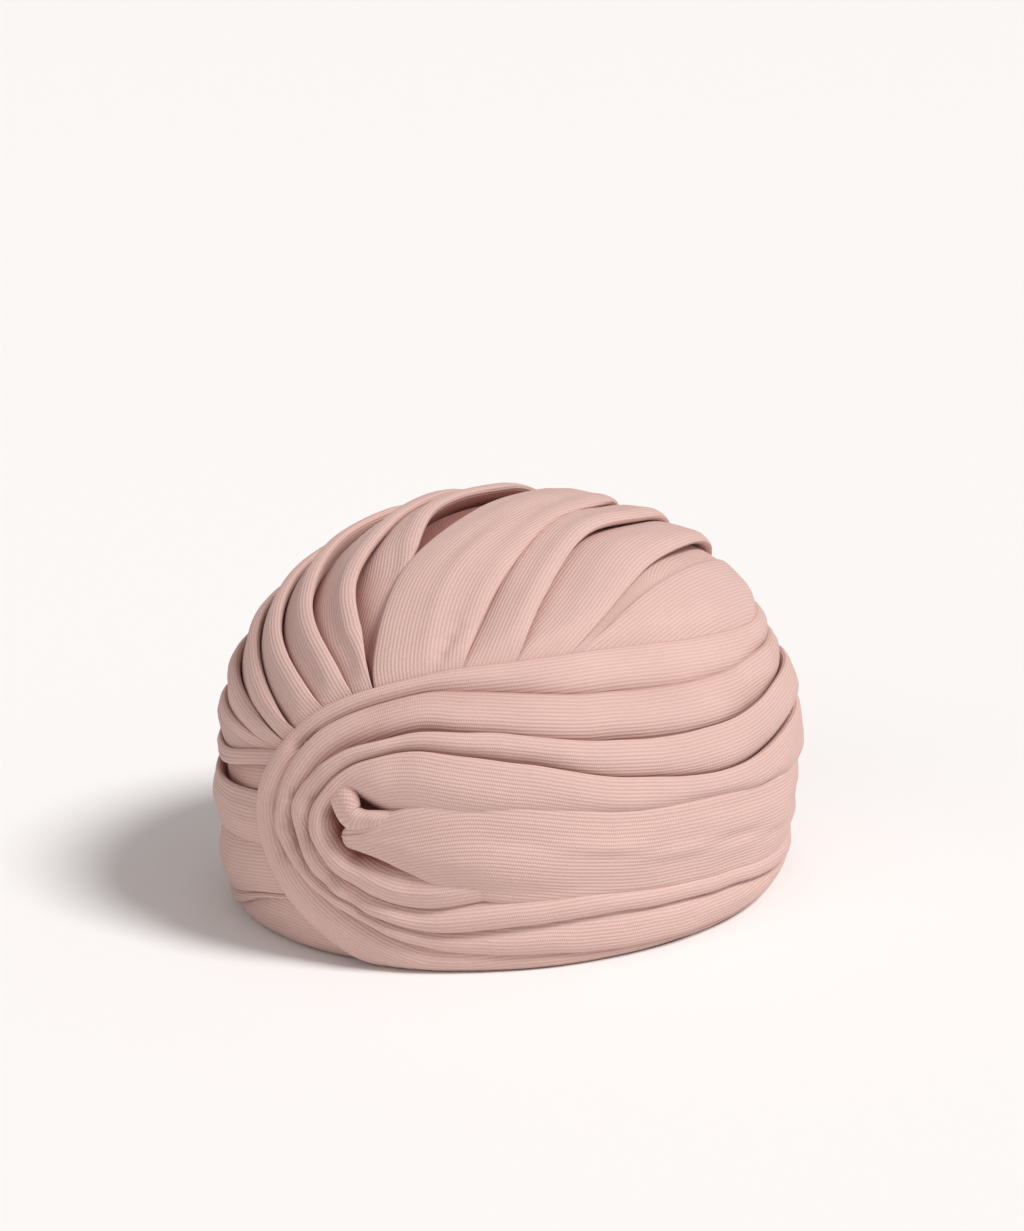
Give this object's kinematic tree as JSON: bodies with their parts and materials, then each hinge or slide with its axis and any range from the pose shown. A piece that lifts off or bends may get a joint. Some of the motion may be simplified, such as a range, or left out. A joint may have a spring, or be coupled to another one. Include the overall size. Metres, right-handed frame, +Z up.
{
  "type": "draped turban hat",
  "caption": "Soft draped turban in dusty pink twill, with a pleated crown, a gathered side band and a looped front wrap around a small twist",
  "frame": {"origin": "Middle of the footprint, on the plane that the rim rests on", "axes": "+Z up through the crown, -Y towards the wearer's front, +Y towards the back of the head, +X towards the wearer's left"},
  "size_m": [0.1982, 0.2333, 0.1425],
  "materials": {
    "crown_twill": "matte dusty pink twill",
    "band_twill": "matte dusty pink twill",
    "wrap_twill": "matte dusty pink twill",
    "twist_twill": "matte dusty pink twill"
  },
  "bodies": {
    "root": {"crown_drape": "crown_twill", "side_band": "band_twill", "front_wrap": "wrap_twill", "centre_twist": "twist_twill"}
  },
  "joints": []
}
